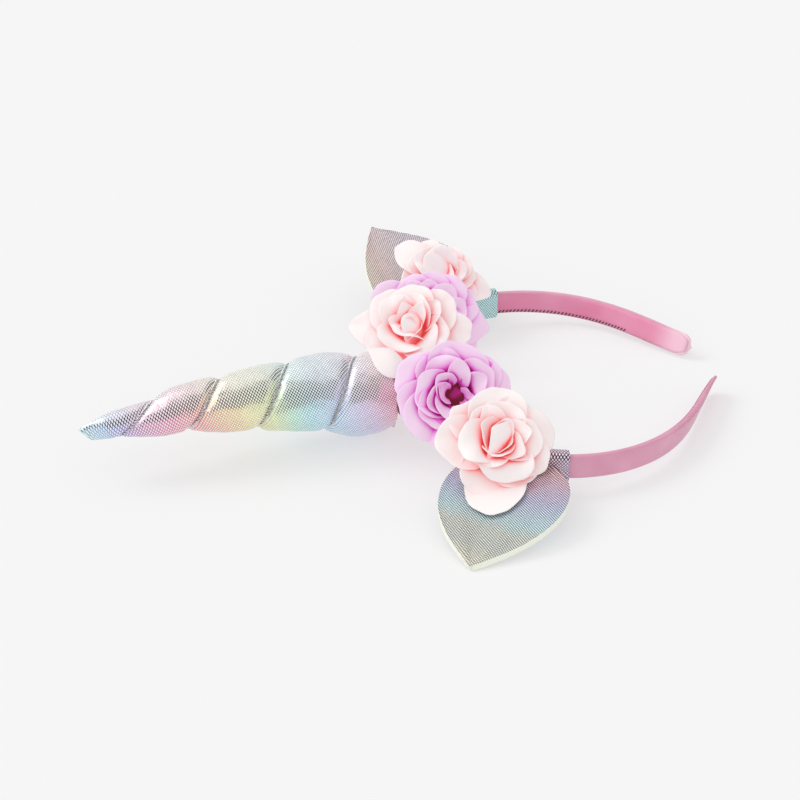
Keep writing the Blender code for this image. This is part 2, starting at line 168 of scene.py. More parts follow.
class Finish:
    def __init__(self, owner):
        owner.use_nodes = True
        self.owner, self.tree = owner, owner.node_tree

    def node(self, kind, settings=None, inputs=None):
        settings = dict(settings or {})
        output, stops = settings.pop("output", 0), settings.pop("stops", None)
        made = self.tree.nodes.new(kind)
        for key, value in settings.items():
            setattr(made, key, value)
        if stops:
            ramp = made.color_ramp.elements
            while len(ramp) < len(stops):
                ramp.new(0.5)
            for element, (position, colour) in zip(ramp, stops):
                element.position, element.color = position, (*colour, 1.0)
        for key, value in (inputs or {}).items():
            if isinstance(value, Wire):
                self.tree.links.new(value.socket, made.inputs[key])
            else:
                made.inputs[key].default_value = value
        return Wire(self, made.outputs[output])

    def blend(self, share, first, second, way="MIX"):
        settings = {"data_type": "RGBA", "blend_type": way, "output": 2}
        return self.node("ShaderNodeMix", settings, {0: share, 6: first, 7: second})

    def between(self, value, low, high):  # 0 below low, 1 above high
        return self.node("ShaderNodeMapRange", {"interpolation_type": "SMOOTHSTEP"},
                         {"Value": value, "From Min": low, "From Max": high})

    def grain(self, where, scale, detail=2.0):
        return self.node("ShaderNodeTexNoise", {}, {"Vector": where, "Scale": scale, "Detail": detail})

    def relief(self, strength, height):
        inputs = {"Strength": strength, "Distance": cloth["relief"], "Height": height}
        return self.node("ShaderNodeBump", {}, inputs)

    def shade(self, **inputs):  # the material's own shader
        shader = self.tree.nodes["Principled BSDF"]
        for key, value in inputs.items():
            socket = shader.inputs[key.replace("_", " ")]
            if isinstance(value, Wire):
                self.tree.links.new(value.socket, socket)
            else:
                socket.default_value = value
        return self.owner


def newFinish(name):
    return Finish(bpy.data.materials.new(name))


cameraView = {"place": (-150.61, -844.18, 491.40), "right": (0.97449, -0.21364, -0.06883),
              "up": (0.16395, 0.46810, 0.86833), "forward": (0.15329, 0.85746, -0.49118), "lens": 114.04}

lighting = {"back": 0.56, "front": 0.985, "frontWay": (-0.15, -0.75, 0.62), "frontSpan": (-0.6, 0.95),
            "sun": 0.90, "sunFrom": (-0.58, 0.42, 0.70), "sunSpread": 30, "floor": 0.40, "floorGlow": 0.501,
            "floorSize": 12, "foilRoom": 0.88,
            "foilDark": [((-0.12, -0.80, 0.58), 0.55, 0.90), ((0.86, 0.22, 0.45), 0.72, 0.95)],
            "foilBright": ((-0.74, -0.05, 0.67), 0.88, 0.97, 1.6)}


def buildCamera():
    data = bpy.data.cameras.new("camera")
    data.lens, data.sensor_width, data.clip_end = cameraView["lens"], 36.0, 20.0
    camera = bpy.data.objects.new("camera", data)
    axes = [Vector(cameraView["right"]), Vector(cameraView["up"]), -Vector(cameraView["forward"])]
    turn = Matrix(axes).transposed().to_4x4()
    camera.matrix_world = Matrix.Translation(Vector(cameraView["place"]) * mm) @ turn
    bpy.context.scene.collection.objects.link(camera)
    bpy.context.scene.camera = camera


def buildRoom():
    scene = bpy.context.scene
    scene.view_settings.view_transform = "Standard"
    scene.world = bpy.data.worlds.new("studio")
    room = Finish(scene.world)
    way = room.node("ShaderNodeTexCoord", {"output": "Generated"})

    def towards(direction, start, end):  # 1 where the room lies in that direction
        share = room.node("ShaderNodeVectorMath", {"operation": "DOT_PRODUCT", "output": "Value"},
                          {0: way, 1: Vector(direction).normalized()})
        return room.between(share, start, end)

    openRoom = towards(lighting["frontWay"], *lighting["frontSpan"]) * (lighting["front"] - lighting["back"])
    openRoom = openRoom + lighting["back"]
    inFoil = 1.0
    for patch in lighting["foilDark"]:
        inFoil = (1 - towards(*patch)) * inFoil
    inFoil = inFoil * lighting["foilRoom"] + towards(*lighting["foilBright"][:3]) * lighting["foilBright"][3]
    glossy = room.node("ShaderNodeLightPath", {"output": "Is Glossy Ray"})
    strength = openRoom + glossy * (inFoil - openRoom)
    background = scene.world.node_tree.nodes["Background"]
    room.tree.links.new(strength.socket, background.inputs["Strength"])
    background.inputs["Color"].default_value = (1, 1, 1, 1)

    sun = bpy.data.lights.new("sun", "SUN")
    sun.energy, sun.angle = lighting["sun"], math.radians(lighting["sunSpread"])
    lamp = bpy.data.objects.new("sun", sun)
    lamp.rotation_euler = Vector(lighting["sunFrom"]).to_track_quat("Z", "Y").to_euler()
    scene.collection.objects.link(lamp)

    bpy.ops.object.select_all(action="DESELECT")
    bpy.ops.mesh.primitive_plane_add(size=lighting["floorSize"], location=(0, 0, 0))
    floor = bpy.context.object
    floor.name = "floor"
    paper = newFinish("floor_paper")
    grey = (lighting["floor"],) * 3
    paper.shade(Base_Color=(*grey, 1), Roughness=1.0, Specular_IOR_Level=0.0,
                Emission_Color=(1, 1, 1, 1), Emission_Strength=lighting["floorGlow"])
    floor.data.materials.append(paper.owner)


buildCamera()
buildRoom()
print("camera, light and floor are in place")


band = {"length": 379.0, "width": 9.2, "thick": 2.6, "tipThick": 1.3, "taper": 26.0, "corner": 0.7,
        "tipRound": 4.7, "flare": 0.2, "flareLength": 30.0, "slope": 5.0,
        "bends": (0.01242, 0.04439, -0.0709), "sections": 300, "sides": 40, "clothAround": 0.25,
        "twist": 24.0, "twistStart": 0.5, "twistEnd": 1.04,
        "liningThick": 0.2, "liningShare": 0.9, "liningEnd": 1.5, "liningRound": 6.0, "liningAround": 0.085,
        "sewn": 158.0, "stitchStep": 1.6, "stitchLength": 1.7, "stitchRadius": 0.27, "stitchLift": 0.45,
        "stitchPlace": 0.74, "stitchSlant": 0.8, "tipShine": (0.95, 0.99)}
cloth = {"dotPitch": 0.80, "unit": 100.0, "relief": 0.0002}  # UV maps hold the flat cloth in units of 100 mm

foilLook = {"dotEdge": (0.7, 1.25), "drift": 0.14, "driftScale": 3.0, "toneSpread": 0.3,
            "crumpleScale": 55.0, "crumple": 1.3, "dotRelief": 0.4, "bump": 0.35, "metal": 0.92,
            "rough": 0.55, "metalRough": 0.28,
            "gap": (0.02, 0.02, 0.025, 1), "white": (0.97, 0.97, 0.96, 1), "grey": (0.80, 0.80, 0.82, 1)}
petalLook = {"openSpan": (0.09, 0.88), "open": 0.92, "lip": 0.12, "streak": 0.14, "mottle": 0.16,
             "glow": 0.42, "streakScale": (26.0, 2.5, 1.0), "mottleScale": 90.0, "weaveScale": 2600.0,
             "bump": 0.25, "rough": 0.7}
satinLook = {"threads": (9.0, 260.0, 1.0), "weftScale": 6.0, "softScale": 5.0, "weft": 0.3, "soft": 0.7,
             "span": (0.22, 0.78), "tip": 0.85, "bump": 0.25, "rough": 0.36, "roughSpread": 0.16}

hornHues = [  # from the tip to the base
    (0.00, (0.36, 0.74, 0.78)), (0.08, (0.28, 0.52, 0.86)), (0.15, (0.30, 0.24, 0.72)),
    (0.22, (0.72, 0.22, 0.50)), (0.32, (0.86, 0.20, 0.36)), (0.40, (0.88, 0.26, 0.24)),
    (0.45, (0.92, 0.56, 0.20)), (0.51, (0.93, 0.84, 0.28)), (0.58, (0.72, 0.86, 0.30)),
    (0.64, (0.36, 0.82, 0.58)), (0.72, (0.26, 0.74, 0.88)), (0.80, (0.40, 0.62, 0.93)),
    (0.87, (0.62, 0.50, 0.86)), (0.94, (0.88, 0.30, 0.46)), (1.00, (0.86, 0.22, 0.36))]


def foilCloth(name, hues, hueAt, paleAt, tone, dotSize, dotWhite):  # bright foil with small white dots
    foil = newFinish(name)
    flat = foil.node("ShaderNodeUVMap", {"uv_map": "UVMap"})
    split = {"Vector": flat}
    u = foil.node("ShaderNodeSeparateXYZ", {"output": "X"}, split)
    v = foil.node("ShaderNodeSeparateXYZ", {"output": "Y"}, split)
    perDot = cloth["unit"] / cloth["dotPitch"] / math.sqrt(2)
    one, two = (u + v) * perDot, (u - v) * perDot
    fromMiddle = [one.maths("ABSOLUTE", way.maths("FRACT", way) - 0.5) for way in (one, two)]
    apart = fromMiddle[0] ** 3 + fromMiddle[1] ** 3
    edge = dotSize ** 3
    low, high = foilLook["dotEdge"]
    metal = foil.between(apart, edge * low, edge * high)
    corner = {"X": one.maths("FLOOR", one), "Y": two.maths("FLOOR", two)}
    cell = foil.node("ShaderNodeCombineXYZ", {}, corner)
    chance = foil.node("ShaderNodeTexWhiteNoise", {"noise_dimensions": "2D"}, {"Vector": cell})
    drift = foil.grain(flat, foilLook["driftScale"])
    shift = (drift - 0.5) * foilLook["drift"]
    hue = foil.node("ShaderNodeValToRGB", {"stops": hues}, {"Fac": hueAt(foil, flat, u, v) + shift})
    pale = foil.blend(paleAt(foil, flat, u, v), hue, foilLook["grey"])
    dots = foil.blend(dotWhite, pale, foilLook["white"])
    strength = (chance - 0.5) * foilLook["toneSpread"] + 1
    shiny = foil.blend(strength * tone, foilLook["gap"], pale)
    crumple = foil.grain(flat, foilLook["crumpleScale"], 3.0)
    height = metal * foilLook["dotRelief"] + crumple * foilLook["crumple"]
    bump = foil.relief(foilLook["bump"], height)
    rough = foilLook["rough"] - metal * foilLook["metalRough"]
    return foil.shade(Base_Color=foil.blend(metal, dots, shiny), Metallic=metal * foilLook["metal"],
                      Roughness=rough, Normal=bump, Sheen_Weight=0.1)


def hornHue(foil, flat, u, v):
    reach = foil.node("ShaderNodeVectorMath", {"operation": "LENGTH", "output": "Value"}, {0: flat})
    return (reach - 0.035) / 1.19 + v * 0.16


def hornTopSheen(foil, flat, u, v):  # painted sheen: the top of the horn is greyer, as if washed out by the light from above
    up = foil.node("ShaderNodeTexCoord", {"output": "Normal"})
    lift = foil.node("ShaderNodeSeparateXYZ", {"output": "Z"}, {"Vector": up})
    return 0.06 + foil.between(lift, 0.2, 1.0) * 0.6


earPaleShare = 0.10
nearEarHues = [
    (0.06, (0.88, 0.34, 0.44)), (0.20, (0.66, 0.40, 0.72)), (0.32, (0.44, 0.46, 0.84)),
    (0.44, (0.42, 0.66, 0.90)), (0.57, (0.44, 0.82, 0.88)), (0.70, (0.64, 0.70, 0.54)),
    (0.84, (0.60, 0.66, 0.56)), (0.94, (0.72, 0.74, 0.52)), (1.00, (0.84, 0.76, 0.54))]
farEarHues = [
    (0.00, (0.50, 0.78, 0.50)), (0.14, (0.66, 0.66, 0.62)), (0.30, (0.66, 0.52, 0.66)),
    (0.50, (0.74, 0.56, 0.66)), (0.70, (0.94, 0.58, 0.50)), (0.88, (0.84, 0.80, 0.50)),
    (1.00, (0.42, 0.98, 1.0))]


def nearEarHue(foil, flat, u, v):
    return v * 1.88 + u * 0.35


def farEarHue(foil, flat, u, v):
    return v * 0.3 - u * 1.6 + 0.38


def earPale(foil, flat, u, v):  # the ears keep their colour
    return earPaleShare


def petalCloth(name, shades, glow):
    petal = newFinish(name)
    light = petal.node("ShaderNodeAttribute", {"attribute_name": "open", "output": "Fac"})
    along = petal.node("ShaderNodeAttribute", {"attribute_name": "along", "output": "Fac"})
    flat = petal.node("ShaderNodeUVMap", {"uv_map": "UVMap"})
    veins = petal.node("ShaderNodeMapping", {}, {"Vector": flat, "Scale": petalLook["streakScale"]})
    streak = petal.grain(veins, 1.0, 3.0)
    spot = petal.node("ShaderNodeTexCoord", {"output": "Object"})
    mottle = petal.grain(spot, petalLook["mottleScale"], 3.0)
    weave = petal.grain(spot, petalLook["weaveScale"], 1.0)
    # painted shade: the tone falls to deep red where little sky is open between the petals, in the crevices
    # and the throat; the petals are also lighter towards their lips, and the streaks and mottle are the
    # cloth's own
    tone = petal.between(light, *petalLook["openSpan"]) * petalLook["open"] + along * petalLook["lip"]
    tone = tone + (streak - 0.5) * petalLook["streak"] + (mottle - 0.5) * petalLook["mottle"]
    colour = petal.node("ShaderNodeValToRGB", {"stops": shades}, {"Fac": tone})
    paintedGlow = petal.node("ShaderNodeValToRGB", {"stops": glow}, {"Fac": tone})  # painted glow: emission standing in for light through the cloth and lifting the shade, reddest where the petals close in
    bump = petal.relief(petalLook["bump"], streak * 0.8 + weave * 0.25)
    return petal.shade(Base_Color=colour, Roughness=petalLook["rough"], Normal=bump, Sheen_Weight=0.1,
                       Emission_Color=paintedGlow, Emission_Strength=petalLook["glow"])


def satinCloth(name, colour, deep, tip):
    satin = newFinish(name)
    flat = satin.node("ShaderNodeUVMap", {"uv_map": "UVMap"})
    threads = satin.node("ShaderNodeMapping", {}, {"Vector": flat, "Scale": satinLook["threads"]})
    weft = satin.grain(threads, satinLook["weftScale"])
    soft = satin.grain(flat, satinLook["softScale"])
    shine = satin.between(weft * satinLook["weft"] + soft * satinLook["soft"], *satinLook["span"])
    shaded = satin.blend(shine, deep, colour)
    along = satin.node("ShaderNodeSeparateXYZ", {"output": "Y"}, {"Vector": flat})
    start, end = (share * band["length"] / cloth["unit"] for share in band["tipShine"])
    tipHighlight = satin.between(along, start, end) * satinLook["tip"]  # painted highlight: the left end is lighter, as if it catches the light
    shaded = satin.blend(tipHighlight, shaded, tip)
    bump = satin.relief(satinLook["bump"], weft + soft)
    return satin.shade(Base_Color=shaded, Roughness=satinLook["rough"] + soft * satinLook["roughSpread"],
                       Normal=bump, Sheen_Weight=0.3, Sheen_Roughness=0.35)


def plainCloth(name, colour, roughness, metallic=0.0):
    plain = newFinish(name)
    place = plain.node("ShaderNodeTexCoord", {"output": "Object"})
    grain = plain.grain(place, 1400.0)
    darker = tuple(c * 0.82 for c in colour)
    bump = plain.relief(0.3, grain)
    return plain.shade(Base_Color=plain.blend(grain, (*darker, 1), (*colour, 1)), Roughness=roughness,
                       Metallic=metallic, Normal=bump)


hornFoil = foilCloth("horn_foil", hornHues, hornHue, hornTopSheen, 0.82, 0.375, 0.80)
# painted reflection: the ears' lower foil tones (0.38 and 0.46 against the horn's 0.82) darken the foil
# between their white dots in place of the dark room they would mirror
nearEarFoil = foilCloth("ear_right_foil", nearEarHues, nearEarHue, earPale, 0.38, 0.335, 0.62)
farEarFoil = foilCloth("ear_left_foil", farEarHues, farEarHue, earPale, 0.46, 0.34, 0.62)
petalPale = petalCloth("petal_pale", [
    (0.00, (0.62, 0.010, 0.010)), (0.16, (0.86, 0.20, 0.19)), (0.34, (0.93, 0.55, 0.54)),
    (0.56, (0.93, 0.71, 0.72)), (0.78, (0.92, 0.80, 0.80)), (1.00, (0.93, 0.86, 0.85))], [
    (0.00, (0.42, 0.01, 0.01)), (0.16, (0.38, 0.12, 0.12)), (0.34, (0.29, 0.20, 0.205)),
    (0.56, (0.22, 0.18, 0.19)), (0.78, (0.16, 0.15, 0.15)), (1.00, (0.11, 0.11, 0.11))])
petalLilac = petalCloth("petal_lilac", [
    (0.00, (0.16, 0.001, 0.015)), (0.16, (0.44, 0.008, 0.24)), (0.34, (0.72, 0.10, 0.60)),
    (0.56, (0.84, 0.35, 0.76)), (0.78, (0.89, 0.54, 0.84)), (1.00, (0.91, 0.68, 0.88))], [
    (0.00, (0.08, 0.0, 0.005)), (0.16, (0.32, 0.005, 0.16)), (0.34, (0.40, 0.07, 0.34)),
    (0.56, (0.27, 0.14, 0.26)), (0.78, (0.19, 0.13, 0.18)), (1.00, (0.12, 0.10, 0.12))])
bandSatin = satinCloth("band_satin", (0.79, 0.40, 0.53, 1), (0.64, 0.26, 0.38, 1), (0.92, 0.66, 0.76, 1))
liningSatin = satinCloth("lining_satin", (0.80, 0.32, 0.47, 1), (0.72, 0.20, 0.34, 1),
                         (0.92, 0.60, 0.72, 1))
silverCord = plainCloth("silver_cord", (0.86, 0.86, 0.88), 0.3, 0.85)
cutEdge = plainCloth("cut_edge", (0.96, 0.99, 0.86), 0.7)
threadPink = plainCloth("thread_pink", (0.09, 0.012, 0.035), 0.7)
print("finishes are ready")


fall = math.radians(band["slope"])
downBand = Vector((math.cos(fall), 0, -math.sin(fall)))
upBand = Vector((math.sin(fall), 0, math.cos(fall)))


def bandCurve():
    half = band["length"] / 2
    steps = math.ceil(half)
    step = half / steps
    along = across = heading = 0.0
    rows = [(along, across, heading)]
    crownBend, shoulderBend, armBend = band["bends"]
    for i in range(steps):
        t = (i + 0.5) / steps
        heading += (crownBend + shoulderBend * t**2 + armBend * t**4) * step
        along += math.sin(heading) * step
        across += math.cos(heading) * step
        rows.append((along, across, heading))
    return rows


curve = bandCurve()


def bandAt(spot):  # point, outward side and flare at a distance from the crown
    reach = min(abs(spot) / (band["length"] / 2), 1.0) * (len(curve) - 1)
    low = min(int(reach), len(curve) - 2)
    along, across, heading = (mix(curve[low][c], curve[low + 1][c], reach - low) for c in range(3))
    side = 1 if spot >= 0 else -1
    outward = Vector((0, side * math.sin(heading), 0)) - downBand * math.cos(heading)
    left = band["length"] / 2 - abs(spot)
    flare = max(1 - left / band["flareLength"], 0.0) ** 2 * band["flare"]
    middle = Vector((0, 0, crownHeight)) + downBand * along + Vector((0, side * across, 0))
    return middle + outward * flare, outward


def onBand(spot, out, up):  # a point of the section; towards the ends the band turns about its top edge
    middle, outward = bandAt(spot)
    reach = 2 * abs(spot) / band["length"]
    turn = math.radians(band["twist"]) * ease(band["twistStart"], band["twistEnd"], reach)
    top = band["width"] / 2
    across = out * math.cos(turn) + (up - top) * math.sin(turn)
    rise = top + (up - top) * math.cos(turn) - out * math.sin(turn)
    return middle + outward * across + upBand * rise


def bandThick(spot):
    left = band["length"] / 2 - abs(spot)
    return mix(band["tipThick"], band["thick"], ease(0.0, band["taper"], left))


def roundedBox(share, halfThick, halfWidth, corner):  # a point of the section's outline
    corner = min(corner, halfThick * 0.98, halfWidth * 0.98)
    flats = (halfWidth - corner, halfThick - corner)
    bend = corner * math.pi / 2
    travelled = share % 1 * 4 * (flats[0] + flats[1] + bend)
    x, y, heading = halfThick, -flats[0], 90.0
    for i in range(4):
        run = min(travelled, 2 * flats[i % 2])
        x += run * math.cos(math.radians(heading))
        y += run * math.sin(math.radians(heading))
        travelled -= run
        turn = math.degrees(min(travelled, bend) / corner)
        if turn <= 0:
            break
        before, after = math.radians(heading), math.radians(heading + turn)
        x += corner * (math.sin(after) - math.sin(before))
        y += corner * (math.cos(before) - math.cos(after))
        travelled -= min(travelled, bend)
        heading += turn
        if turn < 89.999:
            break
    return x, y


def bandSkin(start, end, grow):
    def put(across, along):
        spot = mix(start, end, along)
        left = band["length"] / 2 - abs(spot)
        rounding = min(left / band["tipRound"], 1.0)
        share = math.sqrt(max(1 - (1 - rounding) ** 2, 0.0))
        out, up = roundedBox(across, (bandThick(spot) / 2 + grow) * mix(0.25, 1, share),
                             max((band["width"] / 2 + grow) * share, 0.01), band["corner"])
        return at(*onBand(spot, out, up))
    return put


def buildBand():
    half = band["length"] / 2 - 0.01
    run = band["length"] / cloth["unit"]
    skin = addSheet("headband_satin", band["sides"], band["sections"], bandSkin(-half, half, 0),
                    lambda a, b: (a * band["clothAround"], b * run))
    closeSeams(skin)
    dress(skin, bandSatin)

    def lining(across, along):
        end = half - band["liningEnd"]
        spot, edge = mix(-end, end, along), mix(-1, 1, across)
        rounding = math.sqrt(min((half - abs(spot)) / band["liningRound"], 1.0))
        width = band["width"] / 2 * band["liningShare"] * rounding
        lift = band["liningThick"] * (1 - abs(edge) ** 8)
        return at(*onBand(spot, 0.05 - bandThick(spot) / 2 - lift, edge * width))

    strip = addSheet("headband_lining", 8, 240, lining, lambda a, b: (a * band["liningAround"], b * run))
    applyModifier(strip, "SOLIDIFY", thickness=band["liningThick"] * mm, offset=-1.0)
    closeSeams(strip)
    dress(strip, liningSatin)

    stitches, spot = [], -band["sewn"]
    while spot < band["sewn"]:
        out, up = bandThick(spot) / 2 + band["stitchLift"], band["width"] / 2 * band["stitchPlace"]
        base = onBand(spot, -out, -up)
        ahead = (onBand(spot + 1.0, -out, -up) - base).normalized()
        lean = (ahead * band["stitchSlant"] + upBand).normalized() * band["stitchLength"] / 2
        stitches.append((base - lean, base + lean))
        spot += band["stitchStep"]

    bpy.ops.object.select_all(action="DESELECT")
    threads = []
    bpy.ops.mesh.primitive_uv_sphere_add(segments=6, ring_count=5, radius=1)
    model = bpy.context.object
    for start, end in stitches:
        knot = model.copy()
        knot.data = model.data.copy()
        bpy.context.scene.collection.objects.link(knot)
        reach = end - start
        turn = reach.to_track_quat("Z", "Y").to_matrix().to_4x4()
        radius = band["stitchRadius"] * mm
        size = Matrix.Diagonal((radius, radius, reach.length / 2 * mm, 1))
        knot.data.transform(Matrix.Translation(at(*((start + end) / 2))) @ turn @ size)
        threads.append(knot)
    bpy.data.objects.remove(model)
    sewn = joinPieces(threads, "headband_stitches")
    dress(sewn, threadPink)
    putOn(skin, "band_satin", "headband")
    for piece in (strip, sewn):
        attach(piece, "root")


buildBand()
print("the band is covered")


horn = {"tip": -121.5, "base": -2.2, "pitch": 26.0, "grooveStart": -17.1, "sway": 0.11, "swayAngle": -145.0,
        "grooveDepth": 1.8, "grooveSpread": 0.07, "puff": 1.1, "fullGroove": 8.0, "around": 176, "along": 420,
        "sag": 2.6, "sagPower": 14, "sagPlace": -16.0, "sagLength": 14.0, "lump": 0.75, "gather": 0.42,
        "gatherWaves": (5.2, 11.0), "gatherFade": 0.13, "lumpSizes": (13.0, 4.5), "smallLump": 0.35,
        "apex": -126.0, "unroll": 0.125, "tipFlat": 0.45, "tipSlant": 4.4, "tipStart": -108.0,
        "ends": (0.012, 0.985), "domes": (-0.5, 0.8), "rest": 0.6}

hornRows = [  # x, height of the axis, radius
    (-121.5, 20.2, 3.0), (-119.5, 20.6, 3.5), (-110.0, 21.9, 4.7), (-98.0, 22.6, 6.4), (-82.0, 23.8, 9.1),
    (-62.0, 23.7, 11.4), (-40.0, 21.8, 13.8), (-20.0, 19.4, 15.6), (-2.2, 17.4, 15.6)]


def groovePlace(angle, x=None):  # the groove leans more where the horn is wide
    straight = horn["grooveStart"] + horn["pitch"] * angle / math.tau
    radius = fromRows(hornRows, straight if x is None else x, 2)
    return straight - math.cos(angle - math.radians(horn["swayAngle"])) * horn["sway"] * radius


def hornPoint(x, angle, grow=0.0, plain=False):
    phase = (x - groovePlace(angle, x)) / horn["pitch"] % 1
    near = min(phase, 1 - phase)
    radius = fromRows(hornRows, x, 2)
    side = Vector((0, math.sin(angle), math.cos(angle)))
    if not plain:
        share = min(radius / horn["fullGroove"], 1.0)
        crease = math.exp(-((near / horn["grooveSpread"]) ** 1.6)) * horn["grooveDepth"]
        swell = (math.sin(math.pi * phase) ** 0.8 - 0.75) * horn["puff"]
        spot = Vector((x, side.y * radius, side.z * radius))
        turn = (x - horn["grooveStart"]) / horn["pitch"] * math.tau
        wide, fine = horn["gatherWaves"]
        gathers = noise.noise(Vector((angle * wide + turn * 0.4, turn * 0.15, 2.0)))
        gathers += 0.6 * noise.noise(Vector((angle * fine, turn * 0.3, 7.0)))
        gathers *= horn["gather"] * math.exp(-near / horn["gatherFade"])
        large, small = horn["lumpSizes"]
        lumps = (noise.noise(spot / large) + noise.noise(spot / small) * horn["smallLump"]) * horn["lump"]
        radius += (swell - crease + gathers + lumps) * share
    below = max(-math.cos(angle), 0.0) ** horn["sagPower"]
    settle = max(1 - ((x - horn["sagPlace"]) / horn["sagLength"]) ** 2, 0.0)
    radius += horn["sag"] * below * settle
    point = Vector((x, 0, fromRows(hornRows, x, 1))) + side * (radius + grow)
    end = ease(horn["tipStart"], horn["tip"], x)
    point.y *= mix(1.0, horn["tipFlat"], end)
    point.x += (1 - math.cos(angle)) / 2 * horn["tipSlant"] * end
    point.z = max(point.z, horn["rest"])
    return point


def hornSkin(across, along):
    angle = mix(-math.pi, math.pi, across)
    closeTip, closeBase = horn["ends"]  # the first and last rows close the ends
    x = mix(horn["tip"], horn["base"], min(max((along - closeTip) / (closeBase - closeTip), 0), 1))
    point = hornPoint(x, angle)
    if along < closeTip or along > closeBase:
        left = along / closeTip if along < closeTip else (1 - along) / (1 - closeBase)
        middle = Vector((x, 0, fromRows(hornRows, x, 1)))
        middle.x += horn["tipSlant"] / 2 if along < closeTip else 0
        shrunk = middle + (point - middle) * left
        dome = horn["domes"][along > closeBase] * (1 - left**2)
        point = shrunk + Vector((dome, 0, 0))
    return at(*point)


def hornCloth(across, along):
    x = mix(horn["tip"], horn["base"], along)
    reach = x - horn["apex"]
    angle = mix(-math.pi, math.pi, across) * horn["unroll"]
    return reach * math.cos(angle) / cloth["unit"], reach * math.sin(angle) / cloth["unit"]


def buildHorn():
    skin = addSheet("horn_cloth", horn["around"], horn["along"], hornSkin, hornCloth)
    closeSeams(skin, 0.00001)
    dress(skin, hornFoil)
    putOn(skin, "horn_foil", "horn")


cord = {"radius": 0.34, "twist": 0.34, "lay": 2.6, "sink": -0.25, "start": -112.5, "end": -4.4, "step": 0.45}


def cordPath():
    points, angle = [], -4.3 * math.tau
    while angle < math.tau:
        x = groovePlace(angle, groovePlace(angle))
        if cord["start"] <= x <= cord["end"]:
            side = Vector((0, math.sin(angle), math.cos(angle)))
            points.append((hornPoint(x, angle, cord["radius"] + cord["sink"] + 0.3), side))
        angle += cord["step"] / max(fromRows(hornRows, x, 2), 2.0)
    return points


def buildCord():
    path = cordPath()
    strands = []
    for strand in range(2):
        travelled, spots = 0.0, []
        for i, (point, side) in enumerate(path):
            travelled += (point - path[i - 1][0]).length if i else 0.0
            ahead = path[min(i + 1, len(path) - 1)][0] - path[max(i - 1, 0)][0]
            run = ahead.normalized()
            out = (side - run * side.dot(run)).normalized()
            turn = math.tau * (travelled / cord["lay"] + strand / 2)
            other = run.cross(out)
            aside = out * math.cos(turn) + other * math.sin(turn)
            spots.append((point + aside * cord["twist"], out, other))

        def put(across, along):
            middle, out, other = spots[min(round(along * (len(spots) - 1)), len(spots) - 1)]
            angle = math.tau * across
            size = cord["radius"] * (0.05 if along in (0.0, 1.0) else 1.0)
            return at(*(middle + (out * math.cos(angle) + other * math.sin(angle)) * size))

        tube = addSheet("strand", 8, len(spots) - 1, put)
        closeSeams(tube)
        strands.append(tube)
    twisted = joinPieces(strands, "horn_cord_twisted")
    dress(twisted, silverCord)
    putOn(twisted, "silver_cord", "horn_cord")


buildHorn()
buildCord()
print("the horn is stuffed and its cord is wound")


ears = {
    "ear_right": {"side": -1, "tip": (3.0, -107.5, 1.7), "half": 23.8, "bow": -1.5, "roll": 0.0,
                  "wrap": (78.0, 91.0), "dish": 1.2, "foil": nearEarFoil, "wrapHue": -0.1},
    "ear_left": {"side": 1, "tip": (17.0, 121.0, 27.6), "half": 21.5, "bow": 3.5, "roll": -3.0,
                 "wrap": (85.0, 98.0), "dish": 1.5, "foil": farEarFoil, "wrapHue": -0.8}}
earShape = {"place": 72.0, "thick": 2.5, "edge": 0.85, "columns": 36, "rows": 48, "wrapThick": 1.2}
earRows = [(0.0, 0.62), (0.1, 0.86), (0.24, 0.99), (0.4, 1.0), (0.56, 0.9), (0.72, 0.67), (0.86, 0.38),
           (0.96, 0.13), (1.0, 0.01)]


def earAxes(ear):
    root, _ = bandAt(ear["side"] * earShape["place"])
    along = Vector(ear["tip"]) - root
    side = along.cross(Vector((0, 0, 1))).normalized()
    side = Matrix.Rotation(math.radians(ear["roll"]), 3, along.normalized()) @ side
    return root, along, side, side.cross(along).normalized()


